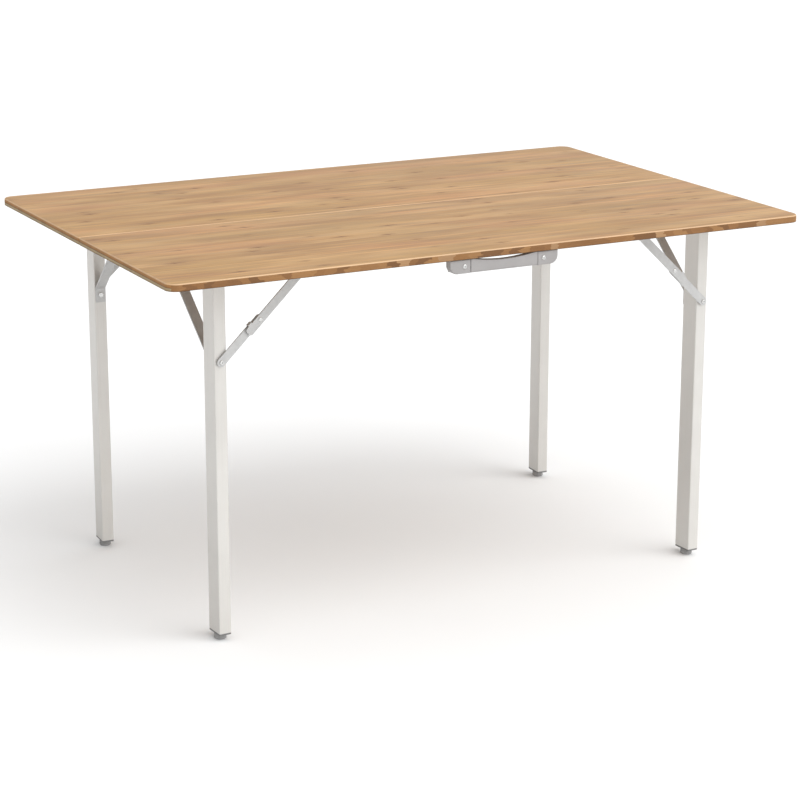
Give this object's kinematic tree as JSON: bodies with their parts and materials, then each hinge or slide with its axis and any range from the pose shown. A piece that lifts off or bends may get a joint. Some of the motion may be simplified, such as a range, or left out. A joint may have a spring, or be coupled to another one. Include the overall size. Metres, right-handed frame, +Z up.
{
  "type": "folding picnic table",
  "caption": "Folding picnic table with a bamboo top hinged lengthwise, fold-in aluminium legs with locking braces and a carrying handle on the long edge.",
  "frame": {"origin": "on the floor under the middle of the top", "axes": "+X along the long side, -Y towards the front edge with the handle, +Z up"},
  "size_m": [1.2, 0.8, 0.65],
  "materials": {
    "bamboo": "lacquered caramel bamboo, narrow strips with dark nodes",
    "leg_aluminium": "satin anodised, warm light grey",
    "brace_steel": "satin zinc-plated flat bar",
    "cap_plastic": "moulded dark grey plastic",
    "foot_rubber": "mid grey rubber",
    "block_plastic": "moulded black plastic",
    "handle_plastic": "moulded mid grey plastic with a fine texture",
    "plated_steel": "zinc-plated pressed sheet",
    "fastener_steel": "bright zinc-plated"
  },
  "bodies": {
    "top_back": {"top_back": "bamboo", "hinge_leaves_back": "plated_steel", "hinge_pins": "plated_steel", "mounting_screws_back": "fastener_steel", "pivot_blocks_back": "block_plastic", "brace_brackets_back": "plated_steel", "bracket_rivets_back": "fastener_steel"},
    "top_front": {"top_front": "bamboo", "hinge_leaves_front": "plated_steel", "mounting_screws_front": "fastener_steel", "pivot_blocks_front": "block_plastic", "brace_brackets_front": "plated_steel", "bracket_rivets_front": "fastener_steel", "handle_caps": "handle_plastic", "handle_grip": "handle_plastic", "handle_strap": "plated_steel", "handle_brackets": "plated_steel", "handle_screws": "fastener_steel"},
    "leg_fl": {"leg_tube_fl": "leg_aluminium", "leg_cap_fl": "cap_plastic", "foot_fl": "foot_rubber", "cross_tube_fl": "leg_aluminium", "side_strap_fl": "brace_steel", "strap_bolts_fl": "fastener_steel"},
    "brace_upper_fl": {"brace_upper_fl": "brace_steel", "brace_rivet_fl": "fastener_steel"},
    "brace_lower_fl": {"brace_lower_fl": "brace_steel", "brace_bolt_fl": "fastener_steel"},
    "leg_fr": {"leg_tube_fr": "leg_aluminium", "leg_cap_fr": "cap_plastic", "foot_fr": "foot_rubber", "cross_tube_fr": "leg_aluminium", "side_strap_fr": "brace_steel", "strap_bolts_fr": "fastener_steel"},
    "brace_upper_fr": {"brace_upper_fr": "brace_steel", "brace_rivet_fr": "fastener_steel"},
    "brace_lower_fr": {"brace_lower_fr": "brace_steel", "brace_bolt_fr": "fastener_steel"},
    "leg_bl": {"leg_tube_bl": "leg_aluminium", "leg_cap_bl": "cap_plastic", "foot_bl": "foot_rubber", "cross_tube_bl": "leg_aluminium", "side_strap_bl": "brace_steel", "strap_bolts_bl": "fastener_steel"},
    "brace_upper_bl": {"brace_upper_bl": "brace_steel", "brace_rivet_bl": "fastener_steel"},
    "brace_lower_bl": {"brace_lower_bl": "brace_steel", "brace_bolt_bl": "fastener_steel"},
    "leg_br": {"leg_tube_br": "leg_aluminium", "leg_cap_br": "cap_plastic", "foot_br": "foot_rubber", "cross_tube_br": "leg_aluminium", "side_strap_br": "brace_steel", "strap_bolts_br": "fastener_steel"},
    "brace_upper_br": {"brace_upper_br": "brace_steel", "brace_rivet_br": "fastener_steel"},
    "brace_lower_br": {"brace_lower_br": "brace_steel", "brace_bolt_br": "fastener_steel"}
  },
  "joints": [
    {"name": "top_fold", "type": "hinge", "parent": "top_back", "child": "top_front", "pos_m": [0, 0, 0.607], "axis": [1, 0, 0], "range_deg": [0, 42]},
    {"name": "leg_fold_fl", "type": "hinge", "parent": "top_front", "child": "leg_fl", "pos_m": [-0.47, -0.27, 0.621], "axis": [0.0521, -0.9986, 0], "range_deg": [0, 90]},
    {"name": "brace_fold_fl", "type": "hinge", "parent": "top_front", "child": "brace_upper_fl", "pos_m": [-0.32369, -0.29141, 0.621], "axis": [0.0521, -0.9986, 0], "range_deg": [-43.18, 0]},
    {"name": "brace_mid_fl", "type": "hinge", "parent": "brace_upper_fl", "child": "brace_lower_fl", "pos_m": [-0.3996, -0.29086, 0.54992], "axis": [0.0521, -0.9986, 0], "range_deg": [0, 180]},
    {"name": "leg_fold_fr", "type": "hinge", "parent": "top_front", "child": "leg_fr", "pos_m": [0.47, -0.27, 0.621], "axis": [-0.0521, 0.9986, 0], "range_deg": [0, 90]},
    {"name": "brace_fold_fr", "type": "hinge", "parent": "top_front", "child": "brace_upper_fr", "pos_m": [0.32671, -0.30651, 0.621], "axis": [-0.0521, 0.9986, 0], "range_deg": [-43.18, 0]},
    {"name": "brace_mid_fr", "type": "hinge", "parent": "brace_upper_fr", "child": "brace_lower_fr", "pos_m": [0.40215, -0.29807, 0.54992], "axis": [-0.0521, 0.9986, 0], "range_deg": [0, 180]},
    {"name": "leg_fold_bl", "type": "hinge", "parent": "top_back", "child": "leg_bl", "pos_m": [-0.47, 0.27, 0.621], "axis": [-0.0521, -0.9986, 0], "range_deg": [0, 90]},
    {"name": "brace_fold_bl", "type": "hinge", "parent": "top_back", "child": "brace_upper_bl", "pos_m": [-0.32369, 0.29141, 0.621], "axis": [-0.0521, -0.9986, 0], "range_deg": [-43.18, 0]},
    {"name": "brace_mid_bl", "type": "hinge", "parent": "brace_upper_bl", "child": "brace_lower_bl", "pos_m": [-0.3996, 0.29086, 0.54992], "axis": [-0.0521, -0.9986, 0], "range_deg": [0, 180]},
    {"name": "leg_fold_br", "type": "hinge", "parent": "top_back", "child": "leg_br", "pos_m": [0.47, 0.27, 0.621], "axis": [0.0521, 0.9986, 0], "range_deg": [0, 90]},
    {"name": "brace_fold_br", "type": "hinge", "parent": "top_back", "child": "brace_upper_br", "pos_m": [0.32671, 0.30651, 0.621], "axis": [0.0521, 0.9986, 0], "range_deg": [-43.18, 0]},
    {"name": "brace_mid_br", "type": "hinge", "parent": "brace_upper_br", "child": "brace_lower_br", "pos_m": [0.40215, 0.29807, 0.54992], "axis": [0.0521, 0.9986, 0], "range_deg": [0, 180]}
  ],
  "couplings": [
    {"joint": "brace_fold_fl", "follows": "leg_fold_fl", "ratio": -0.47962},
    {"joint": "brace_mid_fl", "follows": "leg_fold_fl", "ratio": 2},
    {"joint": "brace_fold_fr", "follows": "leg_fold_fr", "ratio": -0.47962},
    {"joint": "brace_mid_fr", "follows": "leg_fold_fr", "ratio": 2},
    {"joint": "brace_fold_bl", "follows": "leg_fold_bl", "ratio": -0.47962},
    {"joint": "brace_mid_bl", "follows": "leg_fold_bl", "ratio": 2},
    {"joint": "brace_fold_br", "follows": "leg_fold_br", "ratio": -0.47962},
    {"joint": "brace_mid_br", "follows": "leg_fold_br", "ratio": 2}
  ]
}
